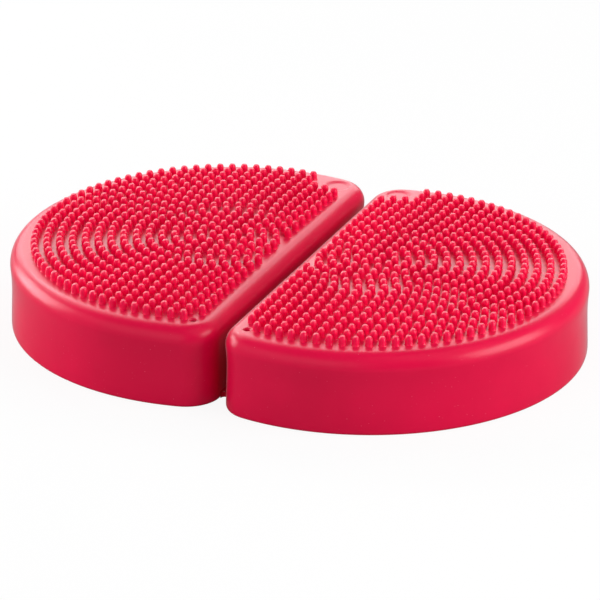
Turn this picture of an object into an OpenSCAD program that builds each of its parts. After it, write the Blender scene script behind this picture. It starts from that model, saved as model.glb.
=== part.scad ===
// Balance pad: two D-shaped air chambers side by side, joined by a low web along the floor.
// Millimetres, +Z up. The origin is on the floor, midway between the two chambers.
// Every chamber piece is drawn for the right-hand chamber and mirrored for the left.

/* [Pad] */
// Overall width across both chambers, at the foot
pad_w = 510; // [490:1:540]
// Overall depth, which is the diameter of a chamber's round outline at the foot
pad_d = 379; // [360:1:390]
// Height of the deck where it meets the rounded shoulder
deck_z = 71; // [65:0.5:80]
// How far the middle of the deck stands above its edge
crown_h = 4.5; // [0:0.5:6]
// Gap between the two chambers at the foot
foot_gap = 8; // [6:0.5:10]
// Plan radius of a chamber's two inner corners, at the foot
corner_r = 31; // [25:1:36]

/* [Skin] */
// Thickness of a chamber's floor
floor_t = 6; // [4:0.5:8]
// Thickness of the side wall and the deck
skin_t = 3; // [2:0.5:4]
// How far the side wall is drawn in between the foot and the rim
waist_in = 1; // [0:0.1:2]
// Width of the rounded shoulder, seen from above
shoulder_w = 9.5; // [6:0.5:14]
// Height of the rounded shoulder
shoulder_h = 14.5; // [9:0.5:16]

/* [Nubs] */
// Height of a nub above the deck
nub_h = 8; // [6:0.5:10]
// Radius of a nub where it meets the deck
nub_root_r = 3.5; // [3:0.1:4.2]
// Radius of a nub at the start of its rounded tip
nub_tip_r = 2.5; // [2:0.1:3.2]
// Distance between neighbouring rings of nubs
ring_pitch = 11.05; // [10.5:0.05:11.2]
// Distance between neighbouring nubs along a ring
nub_pitch = 10.9; // [10:0.1:12]
// Number of rings round the middle nub
ring_count = 15; // [10:1:15]
// Middle of the rings, outwards from the middle of the pad
ring_x = 67.5; // [64:0.5:70]
// Middle of the rings, forwards from the middle of the pad
ring_y = 1.5; // [0:0.5:4]
// Distance of the straight inner column of nubs from the middle of the pad
column_x = 22.5; // [22:0.5:30]

/* [Valve and corner recess] */
// Place of the needle hole in the deck, outwards from the middle of the pad
valve_x = 24.5; // [23:0.5:28]
// Place of the needle hole in the deck, forwards from the middle of the pad
valve_y = 164; // [158:0.5:166]
// Diameter of the needle hole in the deck
needle_hole_d = 5.2; // [4:0.1:6]
// Diameter of the passage through the valve that grips a pump needle
needle_d = 2.2; // [1.8:0.1:2.6]
// Place of the bare round recess at the rear, outwards from the middle of the pad
recess_x = 29; // [26:0.5:36]
// Place of the bare round recess at the rear, backwards from the middle of the pad
recess_y = 159.5; // [154:0.5:164]
// Diameter of the bare round recess
recess_d = 22; // [16:1:24]

/* [Web] */
// Thickness of the web at its two sides
web_t = 6; // [4:0.5:8]
// Thickness of the web along its fold line
web_fold_t = 4; // [3:0.5:5]

/* [Hidden] */
$fn = 96;

skin_red = [0.78, 0.04, 0.2];
nub_red = [0.84, 0.03, 0.18];
web_red = [0.6, 0.03, 0.14];
valve_dark = [0.16, 0.02, 0.03];

// Plan of the right-hand chamber at the foot: one round arc, two corners and a straight inner side
foot_r = pad_d / 2;
round_x = pad_w / 2 - foot_r;
inner_x = foot_gap / 2;
corner_x = inner_x + corner_r;
corner_y = sqrt(pow(foot_r - corner_r, 2) - pow(corner_x - round_x, 2));
round_end = atan2(corner_y, corner_x - round_x);
round_steps = 40;
corner_steps = 6;
inner_steps = 12;

// Where the side wall meets the deck, and where the shoulder runs out into the deck
rim_z = deck_z - shoulder_h;
deck_in = shoulder_w;
deck_r = foot_r - deck_in;
deck_x = inner_x + deck_in;
crown_run = 45;
crown_middle = [110, 0];

// Above 1, the shoulder is flatter than a quarter ellipse, and the waist is above half of the wall's height
shoulder_flat = 1.3;
waist_rise = 1.6;

// Valve: a plug that seats in a boss under the deck
boss_r = 8;
boss_drop = 13;
boss_top = 2.2;
plug_r = 5;
plug_seat = 0.05;
flange_t = 1.5;

// Nubs: rounded tip, root sunk into the deck, and the places left bare
tip_h = 2;
tip_flat_r = 1.1;
nub_sink = 0.5;
recess_depth = 0.8;
recess_clear = recess_d / 2 + 8;
valve_clear = 6.5;

// Web: groove along the fold line and hollowed ends
fold_groove_r = 5;
end_hollow_r = inner_x - 0.3;

// The plan line at a distance d inwards from the foot line, as points that run once round the chamber
function arc(centre, r, from, to, steps) =
    [for (i = [0 : steps - 1]) let (a = from + (to - from) * i / steps) centre + r * [cos(a), sin(a)]];
function plan(d) = concat(
    arc([round_x, 0], foot_r - d, -round_end, round_end, round_steps),
    arc([corner_x, corner_y], corner_r - d, round_end, 180, corner_steps),
    [for (i = [0 : inner_steps - 1]) [inner_x + d, corner_y - 2 * corner_y * i / inner_steps]],
    arc([corner_x, -corner_y], corner_r - d, 180, 360 - round_end, corner_steps)
);
plan_count = round_steps + 2 * corner_steps + inner_steps;

// Distance of the side wall's outer face from the foot line, at height z
function wall_in(z) = waist_in * sin(180 * pow(z / rim_z, waist_rise));

// The shoulder's curve at angle a, as a share of its width and of its height
function shoulder_out(a) = pow(cos(a), shoulder_flat);
function shoulder_up(a) = pow(sin(a), shoulder_flat);

// Rise of the deck above its edge: nothing along the shoulder, most in the middle of the chamber
function crown(p) =
    let (r = norm(p - [round_x, 0]) / deck_r, t = min(1, max(0, (p.x - deck_x) / crown_run)))
        crown_h * max(0, 1 - r * r) * (1 - pow(1 - t, 2));

// Rings of points: level() at one height, crowned() shrunk towards the middle and following the crown
function level(d, z) = [for (p = plan(d)) [p.x, p.y, z]];
function crowned(share, z) =
    [for (p = plan(deck_in)) let (q = crown_middle + share * (p - crown_middle)) [q.x, q.y, z + crown(q)]];
function pole(z) = [crown_middle.x, crown_middle.y, z + crown(crown_middle)];

// Triangles between ring a and ring b, which turn the same way
function band(a, b) = [for (i = [0 : plan_count - 1])
    let (j = (i + 1) % plan_count, p = a * plan_count, q = b * plan_count)
        each [[p + i, q + i, q + j], [p + i, q + j, p + j]]];
function cap(ring, tip, up) = [for (i = [0 : plan_count - 1])
    let (j = (i + 1) % plan_count, p = ring * plan_count) up ? [p + i, tip, p + j] : [p + j, tip, p + i]];

// Floor plate with a flat underside
module base() {
    color(skin_red) linear_extrude(floor_t) polygon(plan(0));
}

// Side wall, drawn in between the foot and the rim
module wall() {
    outer_steps = 6;
    inner_count = 4;
    heights = [for (i = [0 : outer_steps]) floor_t + (rim_z - floor_t) * i / outer_steps];
    backs = [for (i = [inner_count - 1 : -1 : 0]) floor_t + (rim_z - floor_t) * i / (inner_count - 1)];
    rings = concat(
        [for (z = heights) level(wall_in(z), z)],
        [for (z = backs) level(wall_in(z) + skin_t, z)]
    );
    count = len(rings);
    color(skin_red)
        polyhedron([for (r = rings) each r], [for (k = [0 : count - 1]) each band(k, (k + 1) % count)]);
}

// Deck skin: rounded shoulder and crowned top over an underside that follows them
module deck_skin() {
    under = [0.5, 1];
    shoulder_back = [for (i = [3 : -1 : 0]) 90 * i / 4];
    shoulder_turn = [for (i = [0 : 7]) 90 * i / 8];
    over = [1, 0.8, 0.6, 0.4, 0.2];
    rings = concat(
        [for (s = under) crowned(s, deck_z - skin_t)],
        [for (a = shoulder_back) level(deck_in - (shoulder_w - skin_t) * shoulder_out(a),
            rim_z + (shoulder_h - skin_t) * shoulder_up(a))],
        [for (a = shoulder_turn) level(deck_in - shoulder_w * shoulder_out(a),
            rim_z + shoulder_h * shoulder_up(a))],
        [for (s = over) crowned(s, deck_z)]
    );
    count = len(rings);
    points = concat([for (r = rings) each r], [pole(deck_z - skin_t), pole(deck_z)]);
    polyhedron(points, concat(
        cap(0, len(points) - 2, false),
        [for (k = [0 : count - 2]) each band(k, k + 1)],
        cap(count - 1, len(points) - 1, true)
    ));
}

module deck() {
    color(skin_red)
        difference() {
            union() {
                deck_skin();
                translate([valve_x, -valve_y, deck_z - boss_drop]) cylinder(r = boss_r, h = boss_drop - boss_top);
            }
            translate([valve_x, -valve_y, deck_z - boss_drop - 1])
                cylinder(r = plug_r, h = boss_drop - skin_t + 1);
            translate([valve_x, -valve_y, deck_z - boss_drop]) cylinder(d = needle_hole_d, h = boss_drop + crown_h);
            translate([recess_x, recess_y, deck_z - recess_depth]) cylinder(d = recess_d, h = crown_h + 1);
        }
}

// The straight inner column cuts the larger rings, and each cut ring has a nub at both its ends
column_in = ring_x - column_x;
function ring_angles(r) =
    r < column_in
        ? let (count = round(2 * PI * r / nub_pitch)) [for (i = [0 : count - 1]) 90 + 360 * i / count]
        : let (end = 180 - acos(column_in / r), count = round(2 * end * PI / 180 * r / nub_pitch))
            [for (i = [0 : count]) -end + 2 * end * i / count];
function ring_places(r) = [for (a = ring_angles(r)) [ring_x + r * cos(a), r * sin(a) - ring_y]];
function is_bare(p) =
    norm(p - [recess_x, recess_y]) < recess_clear || norm(p - [valve_x, -valve_y]) < valve_clear;
nub_places = concat(
    [[ring_x, -ring_y]],
    [for (k = [1 : ring_count]) for (p = ring_places(k * ring_pitch)) if (!is_bare(p)) p]
);

// One nub: a tapered shank with a rounded tip
module nub() {
    shank_h = nub_sink + nub_h - tip_h;
    cylinder(r1 = nub_root_r, r2 = nub_tip_r, h = shank_h, $fn = 32);
    translate([0, 0, shank_h]) cylinder(r1 = nub_tip_r, r2 = tip_flat_r, h = tip_h, $fn = 32);
}

module nubs() {
    color(nub_red)
        for (p = nub_places) translate([p.x, p.y, deck_z + crown(p) - nub_sink]) nub();
}

// Soft plug with a flange, pushed up into the boss, with the passage for a pump needle
module valve() {
    color(valve_dark)
        translate([valve_x, -valve_y, deck_z - boss_drop])
            difference() {
                union() {
                    cylinder(r = plug_r - plug_seat, h = boss_drop - skin_t);
                    translate([0, 0, -flange_t]) cylinder(r = boss_r, h = flange_t);
                }
                translate([0, 0, -flange_t - 1]) cylinder(d = needle_d, h = boss_drop + flange_t);
            }
}

// Low strip between the two floors, grooved along its fold line, with hollowed ends
module hinge_web() {
    color(web_red)
        difference() {
            translate([-inner_x, -corner_y, 0]) cube([foot_gap, 2 * corner_y, web_t]);
            translate([0, 0, web_fold_t + fold_groove_r])
                rotate([90, 0, 0]) cylinder(r = fold_groove_r, h = pad_d, center = true);
            for (side = [-1, 1])
                translate([0, side * corner_y, -1]) cylinder(r = end_hollow_r, h = web_t + 2);
        }
}

module left_hand() {
    mirror([1, 0, 0]) children();
}

left_hand() base();  // base_left
base();  // base_right
left_hand() wall();  // wall_left
wall();  // wall_right
left_hand() deck();  // deck_left
deck();  // deck_right
left_hand() nubs();  // nubs_left
nubs();  // nubs_right
left_hand() valve();  // valve_left
valve();  // valve_right
hinge_web();
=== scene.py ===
# %% [markdown]
# # A two-chamber balance pad
# The pad is two D-shaped air cushions of soft red PVC, moulded with a field of nubs on top and joined by
# a low web along the floor. The CAD frame gives every size and joint. This lesson lays a smooth moulded
# skin over it, grows the nubs ring by ring, and finishes the PVC, working in metres with +Z up.

import math

import bmesh
import bpy
from mathutils import Matrix, Vector


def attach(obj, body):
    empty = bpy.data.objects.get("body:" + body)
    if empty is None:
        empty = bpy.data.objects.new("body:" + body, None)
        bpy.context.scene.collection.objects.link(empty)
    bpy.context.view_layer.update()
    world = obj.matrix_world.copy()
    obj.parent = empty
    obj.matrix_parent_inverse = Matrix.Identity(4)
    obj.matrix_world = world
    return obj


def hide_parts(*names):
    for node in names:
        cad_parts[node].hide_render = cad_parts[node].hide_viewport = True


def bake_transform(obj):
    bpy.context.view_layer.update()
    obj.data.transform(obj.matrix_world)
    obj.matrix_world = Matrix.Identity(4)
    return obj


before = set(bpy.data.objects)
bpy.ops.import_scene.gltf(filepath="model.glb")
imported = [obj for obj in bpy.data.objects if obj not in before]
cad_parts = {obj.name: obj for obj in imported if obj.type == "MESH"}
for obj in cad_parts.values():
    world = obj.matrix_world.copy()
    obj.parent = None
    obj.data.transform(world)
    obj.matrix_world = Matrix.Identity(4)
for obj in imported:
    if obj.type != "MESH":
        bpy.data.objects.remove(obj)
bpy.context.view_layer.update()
scene = bpy.context.scene
scene.view_settings.view_transform = "Standard"

# %% [markdown]
# ## Camera
# The picture was taken with a long lens from the front right, looking down at about 23 degrees. A long
# lens far away keeps the two chambers nearly the same size, so distance and focal length matter as much
# as the angle.

# %% Camera
azimuth, elevation, distance = math.radians(23.15), math.radians(23.32), 3.484
target = Vector((0, 0, 0.0395))
back = Vector((
    math.sin(azimuth) * math.cos(elevation), -math.cos(azimuth) * math.cos(elevation), math.sin(elevation)
))
lens = bpy.data.cameras.new("camera")
lens.sensor_width, lens.lens = 36, 241.6
lens.shift_x, lens.shift_y = 0.0036, -0.0203
camera = bpy.data.objects.new("camera", lens)
camera.location = target + back * distance
camera.rotation_euler = (-back).to_track_quat("-Z", "Y").to_euler()
scene.collection.objects.link(camera)
scene.camera = camera
print("camera at", [round(x, 3) for x in camera.location])

# %% [markdown]
# ## Plan of one chamber
# Seen from above, a chamber is one round arc cut by a straight inner side, with two rounded corners where
# they meet. Every piece is made for the right-hand chamber and mirrored for the left one, so these values
# are needed once.

# %% Plan values
mm = 0.001
foot_r, round_x = 189.5 * mm, 65.5 * mm
inner_x, corner_r = 4 * mm, 31 * mm
corner_x = inner_x + corner_r
corner_y = math.sqrt((foot_r - corner_r) ** 2 - (corner_x - round_x) ** 2)
round_end = math.atan2(corner_y, corner_x - round_x)
round_centre = Vector((round_x, 0, 0))
rear_corner, front_corner = Vector((corner_x, corner_y, 0)), Vector((corner_x, -corner_y, 0))
print(f"the round arc runs {math.degrees(2 * round_end):.1f} degrees; corners at y = {corner_y / mm:.1f} mm")

# %% [markdown]
# ## Section of the skin
# Going down from the deck, the skin turns over a soft shoulder, a quarter of an ellipse, draws in at the
# waist of the wall as a blown-up chamber does, and flares to a small rounded foot. Each point of the
# section is a distance inwards from the foot line and a height.

# %% Section of the skin
deck_z, rim_z, foot_z = 71 * mm, 56.5 * mm, 3 * mm
shoulder_w, shoulder_h = 12.5 * mm, 14.5 * mm
waist_in, waist_rise, foot_in = 1 * mm, 1.6, 1.4 * mm
shoulder_step, wall_steps, foot_step = 5, 12, 22.5


def wall_in(z):
    return waist_in * math.sin(math.pi * (z / rim_z) ** waist_rise)


def skin_section():
    turns = [math.radians(shoulder_step * i) for i in range(int(90 / shoulder_step), -1, -1)]
    shoulder = [(shoulder_w * (1 - math.cos(a)), rim_z + shoulder_h * math.sin(a)) for a in turns]
    heights = [rim_z + (foot_z - rim_z) * i / wall_steps for i in range(1, wall_steps + 1)]
    wall = [(wall_in(z), z) for z in heights]
    turns = [math.radians(foot_step * i) for i in range(1, int(90 / foot_step) + 1)]
    foot = [(wall_in(foot_z) + foot_in * (1 - math.cos(a)), foot_z * (1 - math.sin(a))) for a in turns]
    return shoulder + wall + foot


section = skin_section()
print(len(section), "points down the skin, from", [round(x / mm, 1) for x in section[0]], "mm")

# %% [markdown]
# ## Crown and moulded marks of the deck
# Air pressure lifts the middle of each deck a few millimetres. One function gives that rise, so the skin
# and the nubs on it stay together. In the rear inner corner the deck also has a bare round recess, a
# little lower than the rest.

# %% Crown and recess
crown_h, crown_r, crown_x, crown_run = 4.5 * mm, 180 * mm, 13.5 * mm, 45 * mm
recess, recess_r, recess_depth = Vector((29 * mm, 159.5 * mm)), 11 * mm, 0.9 * mm
recess_floor_r, recess_lip_r = recess_r - 1.8 * mm, recess_r + 0.4 * mm
needle = Vector((24.5 * mm, -164 * mm))


def crown(co):
    far = (co - round_centre).xy.length / crown_r
    run = min(1, max(0, (co.x - crown_x) / crown_run))
    return crown_h * max(0, 1 - far * far) * (1 - (1 - run) ** 2)


def smooth_step(low, high, value):
    t = min(1, max(0, (value - low) / (high - low)))
    return t * t * (3 - 2 * t)


def press_recess(co):
    floor = deck_z - recess_depth
    share = 1 - smooth_step(recess_floor_r, recess_lip_r, (co.xy - recess).length)
    return co.z + share * min(0, floor - co.z)


print("crown over the middle of the rings:", round(crown(round_centre) / mm, 2), "mm")

# %% [markdown]
# ## Chamber skin
# A line of points could be lofted by hand, but spin does it in one go: the section is spun round the long
# arc, then round the rear corner, slid along the straight inner side, and spun round the front corner
# back to its start. The deck is the top loop, extruded inwards ring by ring, with the rings close
# together where the recess and the hole are.

# %% Chamber skin
UP = Vector((0, 0, 1))
round_steps, corner_steps, straight_steps = 150, 16, 72
weld = 0.01 * mm


def draw_line(bm, points):
    line = [bm.verts.new(point) for point in points]
    return line + [bm.edges.new(pair) for pair in zip(line, line[1:])]


def sweep_section(bm):
    out = Vector((math.cos(-round_end), math.sin(-round_end), 0))
    line = draw_line(bm, [round_centre + out * (foot_r - d) + UP * z for d, z in section])
    turn, step = math.pi - round_end, Vector((0, -2 * corner_y / straight_steps, 0))
    for way in (
        {"cent": round_centre, "angle": 2 * round_end, "steps": round_steps},
        {"cent": rear_corner, "angle": turn, "steps": corner_steps},
        {"dvec": step, "angle": 0, "steps": straight_steps},
        {"cent": front_corner, "angle": turn, "steps": corner_steps},
    ):
        line = bmesh.ops.spin(bm, geom=line, axis=UP, **way)["geom_last"]
    bmesh.ops.remove_doubles(bm, verts=bm.verts, dist=weld)


print(round_steps + straight_steps + 2 * corner_steps, "steps once round the plan")

# %% Deck
deck_middle = Vector((110 * mm, 0, deck_z))
deck_shares = [0.985, 0.97, 0.955, 0.94, 0.925, 0.91, 0.89, 0.86, 0.82, 0.76, 0.68, 0.58, 0.46, 0.32, 0.16]


def close_deck(bm):
    rim = [e for e in bm.edges if e.is_boundary and e.verts[0].co.z > rim_z]
    before = 1
    for share in deck_shares:
        made = bmesh.ops.extrude_edge_only(bm, edges=rim)["geom"]
        rim = [e for e in made if isinstance(e, bmesh.types.BMEdge) and e.is_boundary]
        ring = list({v for e in rim for v in e.verts})
        size = share / before
        bmesh.ops.scale(bm, verts=ring, vec=(size, size, 1), space=Matrix.Translation(-deck_middle))
        before = share
    bmesh.ops.pointmerge(bm, verts=ring, merge_co=deck_middle)


print("the deck closes in", len(deck_shares) + 1, "rings")

# %% The whole skin
recess_reach = 17 * mm


def by_recess(v):
    return (v.co.xy - recess).length < recess_reach and v.co.z > rim_z


def chamber_skin():
    bm = bmesh.new()
    sweep_section(bm)
    close_deck(bm)
    bmesh.ops.holes_fill(bm, edges=[e for e in bm.edges if e.is_boundary], sides=0)
    near = [e for e in bm.edges if all(by_recess(v) for v in e.verts)]
    bmesh.ops.subdivide_edges(bm, edges=near, cuts=1, use_grid_fill=True)
    for v in bm.verts:
        if v.co.z > rim_z:
            v.co.z += crown(v.co) * (v.co.z - rim_z) / shoulder_h
            v.co.z = press_recess(v.co)
    bmesh.ops.recalc_face_normals(bm, faces=bm.faces)
    return bm


skin_shape = chamber_skin()
print("skin:", len(skin_shape.faces), "faces, open edges:", sum(e.is_boundary for e in skin_shape.edges))

# %% [markdown]
# ## From shape to piece
# Each half gets its own mesh. The left one is the right one scaled by -1 along X, which turns its faces
# inside out, so they are flipped back. Edges sharper than 40 degrees stay crisp, and everything else is
# shaded smooth.

# %% From shape to piece
crease = math.radians(40)


def as_piece(bm, name, left=False):
    shape = bm.copy()
    if left:
        bmesh.ops.scale(shape, verts=shape.verts, vec=(-1, 1, 1))
        bmesh.ops.reverse_faces(shape, faces=shape.faces)
    mesh = bpy.data.meshes.new(name)
    shape.to_mesh(mesh)
    shape.free()
    mesh.shade_smooth()
    mesh.set_sharp_from_angle(angle=crease)
    piece = bpy.data.objects.new(name, mesh)
    scene.collection.objects.link(piece)
    return piece


skins = {side: as_piece(skin_shape, f"skin_{side}", side == "left") for side in ("left", "right")}
print("skins:", {side: len(piece.data.polygons) for side, piece in skins.items()})

# %% [markdown]
# ## Needle holes
# A pump needle goes down through a small hole in the front inner corner of each deck, into the valve
# below. The hole is cut with a Boolean, because it crosses the rings of the deck at an angle. The cutter
# flares at the top, so the lip of the hole is slightly rounded instead of razor-sharp.

# %% Needle holes
needle_profile = [(0, -14), (2.6, -14), (2.6, -1.4), (2.8, -0.7), (3.3, -0.1), (4.4, 0.6), (4.4, 6), (0, 6)]
needle_sides = 32


def turned(profile, x, y, sides):
    bm = bmesh.new()
    line = draw_line(bm, [(x + r * mm, y, deck_z + z * mm) for r, z in profile])
    bmesh.ops.spin(bm, geom=line, cent=(x, y, 0), axis=UP, angle=2 * math.pi, steps=sides, use_merge=True)
    bmesh.ops.remove_doubles(bm, verts=bm.verts, dist=weld)
    bmesh.ops.recalc_face_normals(bm, faces=bm.faces)
    return bm


def cut_away(piece, cutter):
    cut = piece.modifiers.new("needle hole", "BOOLEAN")
    cut.object, cut.solver = cutter, "EXACT"
    shown = piece.evaluated_get(bpy.context.evaluated_depsgraph_get())
    mesh = bpy.data.meshes.new_from_object(shown)
    piece.modifiers.clear()
    piece.data = mesh
    mesh.name = piece.name
    bpy.data.objects.remove(cutter)


for side, piece in skins.items():
    count = len(piece.data.vertices)
    tool = turned(needle_profile, needle.x, needle.y, needle_sides)
    cut_away(piece, as_piece(tool, f"needle_cutter_{side}", side == "left"))
    print(piece.name, "needle hole added", len(piece.data.vertices) - count, "points")

# %% [markdown]
# ## Nubs
# The deck carries rings of soft nubs about the middle of the round arc. The straight inner side cuts the
# outer rings, and each cut ring starts and ends with a nub on one straight column. One nub is spun from a
# short profile with few faces, because there are hundreds of them, and then copied from place to place.

# %% Places of the nubs
ring_pitch, nub_pitch, ring_count = 11.05 * mm, 10.9 * mm, 15
ring_centre = Vector((67.5 * mm, -1.5 * mm, 0))
column_in = ring_centre.x - 22.5 * mm
recess_bare, needle_bare = recess_r + 8 * mm, 6.5 * mm


def ring_angles(r):
    if r < column_in:
        count = round(2 * math.pi * r / nub_pitch)
        return [math.pi / 2 + 2 * math.pi * i / count for i in range(count)]
    end = math.pi - math.acos(column_in / r)
    count = round(2 * end * r / nub_pitch)
    return [-end + 2 * end * i / count for i in range(count + 1)]


def is_bare(place):
    return (place.xy - recess).length < recess_bare or (place.xy - needle).length < needle_bare


def nub_places():
    places = [ring_centre.copy()]
    for r in (ring_pitch * k for k in range(1, ring_count + 1)):
        places += [ring_centre + r * Vector((math.cos(a), math.sin(a), 0)) for a in ring_angles(r)]
    return [place for place in places if not is_bare(place)]


places = nub_places()
print(len(places), "nubs on each deck")

# %% One nub, copied to its places
nub_profile = [(3.9, -0.25), (3.3, 0.7), (3.35, 3.6), (3.0, 5.9), (2.0, 7.5), (0, 8.1)]
nub_sides = 10


def move_to(bm, geom, place):
    bmesh.ops.translate(bm, vec=place, verts=[g for g in geom if isinstance(g, bmesh.types.BMVert)])


def nub_field():
    bm = turned(nub_profile, 0, 0, nub_sides)
    first = bm.verts[:] + bm.edges[:] + bm.faces[:]
    for place in places[1:]:
        move_to(bm, bmesh.ops.duplicate(bm, geom=first)["geom"], place)
    move_to(bm, first, places[0])
    for v in bm.verts:
        v.co.z += crown(v.co)
    return bm


nub_shape = nub_field()
nubs = {side: as_piece(nub_shape, f"nub_field_{side}", side == "left") for side in ("left", "right")}
print("one nub has", len(nub_shape.faces) // len(places), "faces; a field has", len(nub_shape.faces))

# %% [markdown]
# ## Web
# The two floors are one moulding with a low strip between them, thinner along the middle so that it folds
# there. Its front and rear ends are hollowed in an arc between the chambers. A subdivided box is pushed
# into that shape.

# %% Web
web_t, fold_t = 6 * mm, 4 * mm
cuts_across, cuts_along = 11, 23


def web_strip():
    bm = bmesh.new()
    bmesh.ops.create_cube(bm, size=1)
    bmesh.ops.scale(bm, verts=bm.verts, vec=(2 * inner_x, 2 * corner_y, web_t))
    bmesh.ops.translate(bm, verts=bm.verts, vec=(0, 0, web_t / 2))
    across = [e for e in bm.edges if abs(e.verts[0].co.x - e.verts[1].co.x) > mm]
    bmesh.ops.subdivide_edges(bm, edges=across, cuts=cuts_across, use_grid_fill=True)
    along = [e for e in bm.edges if abs(e.verts[0].co.y - e.verts[1].co.y) > mm]
    bmesh.ops.subdivide_edges(bm, edges=along, cuts=cuts_along, use_grid_fill=True)
    for v in bm.verts:
        bow = math.sqrt(max(0, 1 - (v.co.x / inner_x) ** 2))
        if v.co.z > web_t / 2:
            v.co.z -= (web_t - fold_t) * bow
        if abs(v.co.y) > corner_y - mm:
            v.co.y -= math.copysign(inner_x * bow, v.co.y)
    return bm


web = as_piece(web_strip(), "web_strip")
print("web:", len(web.data.polygons), "faces")

# %% [markdown]
# ## Shared finish
# All the moulded pieces are the same PVC, so three effects are built once as node groups: an uneven
# pigment, a fine grain left by the mould, and the pale dust specks that cling to soft PVC. Each material
# sets its own amounts. The patterns hang on Object coordinates, so they stay in place on the pad without
# any unwrapping.

# %% Helpers for nodes
MIX_SHARE, MIX_A, MIX_B, MIX_RESULT = 0, 6, 7, 2


def start_group(name, inputs, outputs):
    group = bpy.data.node_groups.new(name, "ShaderNodeTree")
    for label, kind, value in inputs:
        socket = group.interface.new_socket(label, in_out="INPUT", socket_type=kind)
        socket.default_value = value
    for label, kind in outputs:
        group.interface.new_socket(label, in_out="OUTPUT", socket_type=kind)
    return group, group.nodes.new("NodeGroupInput"), group.nodes.new("NodeGroupOutput")


def object_place(tree):
    return tree.nodes.new("ShaderNodeTexCoord").outputs["Object"]


def noise(tree, coordinates, scale, detail, roughness):
    node = tree.nodes.new("ShaderNodeTexNoise")
    node.inputs["Scale"].default_value = scale
    node.inputs["Detail"].default_value = detail
    node.inputs["Roughness"].default_value = roughness
    tree.links.new(coordinates, node.inputs["Vector"])
    return node.outputs["Fac"]


def ramp(tree, value, low, high):
    node = tree.nodes.new("ShaderNodeMapRange")
    node.interpolation_type = "SMOOTHSTEP"
    node.inputs["From Min"].default_value = low
    node.inputs["From Max"].default_value = high
    tree.links.new(value, node.inputs["Value"])
    return node.outputs["Result"]


def mix_colour(tree, share, a, b):
    node = tree.nodes.new("ShaderNodeMix")
    node.data_type = "RGBA"
    for value, socket in ((share, MIX_SHARE), (a, MIX_A), (b, MIX_B)):
        if isinstance(value, bpy.types.NodeSocket):
            tree.links.new(value, node.inputs[socket])
        else:
            node.inputs[socket].default_value = value
    return node.outputs[MIX_RESULT]


print("helpers:", [helper.__name__ for helper in (start_group, object_place, noise, ramp, mix_colour)])

# %% Shared finish


def pigment_group():
    group, given, result = start_group(
        "Uneven pigment",
        [
            ("Deep", "NodeSocketColor", (0.5, 0.01, 0.03, 1)),
            ("Bright", "NodeSocketColor", (0.7, 0.02, 0.05, 1)),
        ],
        [("Color", "NodeSocketColor")],
    )
    share = ramp(group, noise(group, object_place(group), scale=9, detail=4, roughness=0.55), 0.35, 0.65)
    colour = mix_colour(group, share, given.outputs["Deep"], given.outputs["Bright"])
    group.links.new(colour, result.inputs["Color"])
    return group


def grain_group():
    group, given, result = start_group(
        "Mould grain", [("Scale", "NodeSocketFloat", 900)], [("Height", "NodeSocketFloat")]
    )
    fine = group.nodes.new("ShaderNodeTexNoise")
    fine.inputs["Detail"].default_value = 2
    group.links.new(object_place(group), fine.inputs["Vector"])
    group.links.new(given.outputs["Scale"], fine.inputs["Scale"])
    group.links.new(fine.outputs["Fac"], result.inputs["Height"])
    return group


def speck_group():
    group, given, result = start_group(
        "Dust specks", [("Scale", "NodeSocketFloat", 240)], [("Mask", "NodeSocketFloat")]
    )
    cells = group.nodes.new("ShaderNodeTexVoronoi")
    group.links.new(object_place(group), cells.inputs["Vector"])
    group.links.new(given.outputs["Scale"], cells.inputs["Scale"])
    dots = ramp(group, cells.outputs["Distance"], 0.24, 0.1)
    chosen = ramp(group, cells.outputs["Color"], 0.8, 0.95)
    both = group.nodes.new("ShaderNodeMath")
    both.operation = "MULTIPLY"
    group.links.new(dots, both.inputs[0])
    group.links.new(chosen, both.inputs[1])
    group.links.new(both.outputs[0], result.inputs["Mask"])
    return group


pigment, grain, specks = pigment_group(), grain_group(), speck_group()
print("groups:", [group.name for group in (pigment, grain, specks)])

# %% [markdown]
# ## PVC
# Soft PVC is a saturated red with a satin gloss: it looks deep where it faces the eye and pale where it
# is seen at a low angle, because the clear surface then reflects the bright room. A Principled shader
# does most of this by itself. A sheen adds the faint bloom on the skin's turning edges, and each material
# sets its colour, roughness and grain. The nubs get a lighter red than the skin, which is painted light,
# and the web a darker red, which is painted shade for the gap between the chambers.

# %% PVC materials
speck_scale, grain_scale, grain_depth, smudge = 520, 850, 0.4 * mm, 0.06


def place_group(tree, group, **values):
    node = tree.nodes.new("ShaderNodeGroup")
    node.node_tree = group
    for label, value in values.items():
        node.inputs[label].default_value = value
    return node


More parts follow.
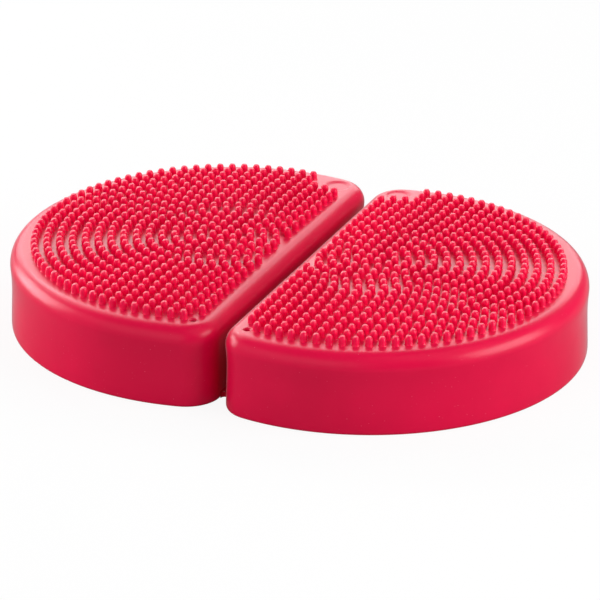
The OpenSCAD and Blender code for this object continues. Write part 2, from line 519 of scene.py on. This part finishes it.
def pvc(name, deep, bright, rough, sheen=0.5, bump=0.05, dusty=0.0):
    material = bpy.data.materials.new(name)
    material.use_nodes = True
    tree = material.node_tree
    shader = tree.nodes["Principled BSDF"]
    shader.inputs["IOR"].default_value = 1.53
    shader.inputs["Specular IOR Level"].default_value = 0.25
    shader.inputs["Sheen Weight"].default_value = sheen
    shader.inputs["Sheen Roughness"].default_value = 0.2
    colour = place_group(tree, pigment, Deep=deep, Bright=bright).outputs["Color"]
    if dusty:
        mask = place_group(tree, specks, Scale=speck_scale).outputs["Mask"]
        colour = mix_colour(tree, mask, colour, (0.85, dusty, 0.05 + dusty, 1))
    tree.links.new(colour, shader.inputs["Base Color"])
    smudges = tree.nodes.new("ShaderNodeMapRange")
    smudges.inputs["To Min"].default_value = rough - smudge
    smudges.inputs["To Max"].default_value = rough + smudge
    uneven = noise(tree, object_place(tree), scale=24, detail=4, roughness=0.6)
    tree.links.new(uneven, smudges.inputs["Value"])
    tree.links.new(smudges.outputs["Result"], shader.inputs["Roughness"])
    raised = tree.nodes.new("ShaderNodeBump")
    raised.inputs["Strength"].default_value = bump
    raised.inputs["Distance"].default_value = grain_depth
    tree.links.new(place_group(tree, grain, Scale=grain_scale).outputs["Height"], raised.inputs["Height"])
    tree.links.new(raised.outputs["Normal"], shader.inputs["Normal"])
    return material


skin_pvc = pvc(
    "skin PVC", (0.67, 0.001, 0.047, 1), (0.74, 0.002, 0.054, 1), 0.3, sheen=1.0, bump=0.06, dusty=0.16
)
# painted light: the nubs are the same PVC as the skin, given a lighter red for the light they catch
lit_nub_pvc = pvc("nub PVC painted lighter", (0.78, 0.001, 0.055, 1), (0.84, 0.002, 0.062, 1), 0.27)
# painted shade: the web is the same PVC as the skin, given a darker red for the shade in the gap between the
# chambers
shaded_web_pvc = pvc("web PVC painted darker", (0.5, 0.002, 0.022, 1), (0.58, 0.003, 0.028, 1), 0.45)
valve_rubber = pvc("valve rubber", (0.03, 0.004, 0.005, 1), (0.045, 0.006, 0.008, 1), 0.6)
print("materials:", [m.name for m in (skin_pvc, lit_nub_pvc, shaded_web_pvc, valve_rubber)])

# %% [markdown]
# ## What moves with what
# Each piece gets its material. The nubs ride on the deck; the skin and the web stay where they are built,
# and the CAD parts they take the place of are hidden.

# %% What moves with what


def dress(piece, material):
    piece.data.materials.clear()
    piece.data.materials.append(material)


for side in ("left", "right"):
    skin, field, valve = skins[side], nubs[side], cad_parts[f"valve_{side}"]
    dress(skin, skin_pvc)
    dress(field, lit_nub_pvc)
    dress(valve, valve_rubber)
    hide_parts(f"base_{side}", f"wall_{side}", f"deck_{side}")
    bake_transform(skin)
    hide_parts(f"nubs_{side}")
    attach(field, f"{side}_deck")
dress(web, shaded_web_pvc)
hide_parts("hinge_web")
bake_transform(web)

# %% [markdown]
# ## Floor and light
# The pad stands on a plain white floor. The floor gives off most of its white to the camera only, so it
# stays pale while the pad keeps a soft shadow. Three broad lights in front, behind and above give the PVC
# its colour and stay out of its gloss. The gloss comes from cards: two behind the pad for the pale sheen
# on the decks, one narrow strip for the thin highlight on the shoulders, and one at each side, which also
# brightens the walls where they turn away.

# %% Floor
floor_half, floor_drop = 8, 0.4 * mm
seen_white, hidden_grey, glow_share = (0.9, 0.9, 0.9, 1), (0.35, 0.35, 0.35, 1), 0.9


def white_floor():
    bm = bmesh.new()
    bmesh.ops.create_grid(bm, x_segments=1, y_segments=1, size=floor_half)
    bmesh.ops.translate(bm, verts=bm.verts, vec=(0, 0, -floor_drop))
    floor = as_piece(bm, "floor")
    material = bpy.data.materials.new("white floor")
    material.use_nodes = True
    tree = material.node_tree
    lit = tree.nodes["Principled BSDF"]
    lit.inputs["Roughness"].default_value = 0.9
    lit.inputs["Specular IOR Level"].default_value = 0.1
    glow = tree.nodes.new("ShaderNodeEmission")
    seen = tree.nodes.new("ShaderNodeLightPath").outputs["Is Camera Ray"]
    share = tree.nodes.new("ShaderNodeMath")
    share.operation = "MULTIPLY"
    share.inputs[1].default_value = glow_share
    tree.links.new(seen, share.inputs[0])
    tree.links.new(mix_colour(tree, seen, hidden_grey, seen_white), lit.inputs["Base Color"])
    both = tree.nodes.new("ShaderNodeMixShader")
    tree.links.new(share.outputs[0], both.inputs[0])
    tree.links.new(lit.outputs[0], both.inputs[1])
    tree.links.new(glow.outputs[0], both.inputs[2])
    tree.links.new(both.outputs[0], tree.nodes["Material Output"].inputs["Surface"])
    floor.data.materials.append(material)
    return floor


print("floor:", white_floor().name)

# %% Light


def softbox(name, place, aim, width, height, power, lights=True, shines=True):
    light = bpy.data.lights.new(name, "AREA")
    light.shape, light.size, light.size_y, light.energy = "RECTANGLE", width, height, power
    lamp = bpy.data.objects.new(name, light)
    lamp.location = place
    lamp.rotation_euler = (Vector(aim) - Vector(place)).to_track_quat("-Z", "Y").to_euler()
    lamp.visible_camera, lamp.visible_diffuse, lamp.visible_glossy = False, lights, shines
    scene.collection.objects.link(lamp)
    return lamp


world = bpy.data.worlds.new("room")
world.use_nodes = True
room = world.node_tree.nodes["Background"]
room.inputs["Color"].default_value = (1, 1, 1, 1)
room.inputs["Strength"].default_value = 0.12
scene.world = world
lamps = [
    softbox("front light", (-1.6, -4.2, 1.9), (0, 0, 0), 7.0, 3.4, 158, shines=False),
    softbox("rear light", (0.8, 4.2, 2.6), (0, 0, 0), 7.0, 3.4, 90, shines=False),
    softbox("back card", (-1.3, 2.7, 1.3), (0, 0, 0.1), 3.8, 1.8, 70, lights=False),
    softbox("high card", (-1.4, 1.7, 2.4), (0, 0, 0), 3.4, 1.1, 34, lights=False),
    softbox("top light", (1.6, -0.3, 2.3), (0, 0, 0), 2.5, 2.0, 25, shines=False),
    softbox("strip", (-1.9, 1.8, 1.8), (0, 0, 0), 0.6, 0.3, 7),
    softbox("left card", (-2.3, 0.1, 0.6), (0, 0, 0.05), 1.6, 1.2, 48),
    softbox("right card", (2.2, 0.2, 0.7), (0, 0, 0.05), 1.6, 1.2, 38),
]
print("lamps:", {lamp.name: lamp.data.energy for lamp in lamps})
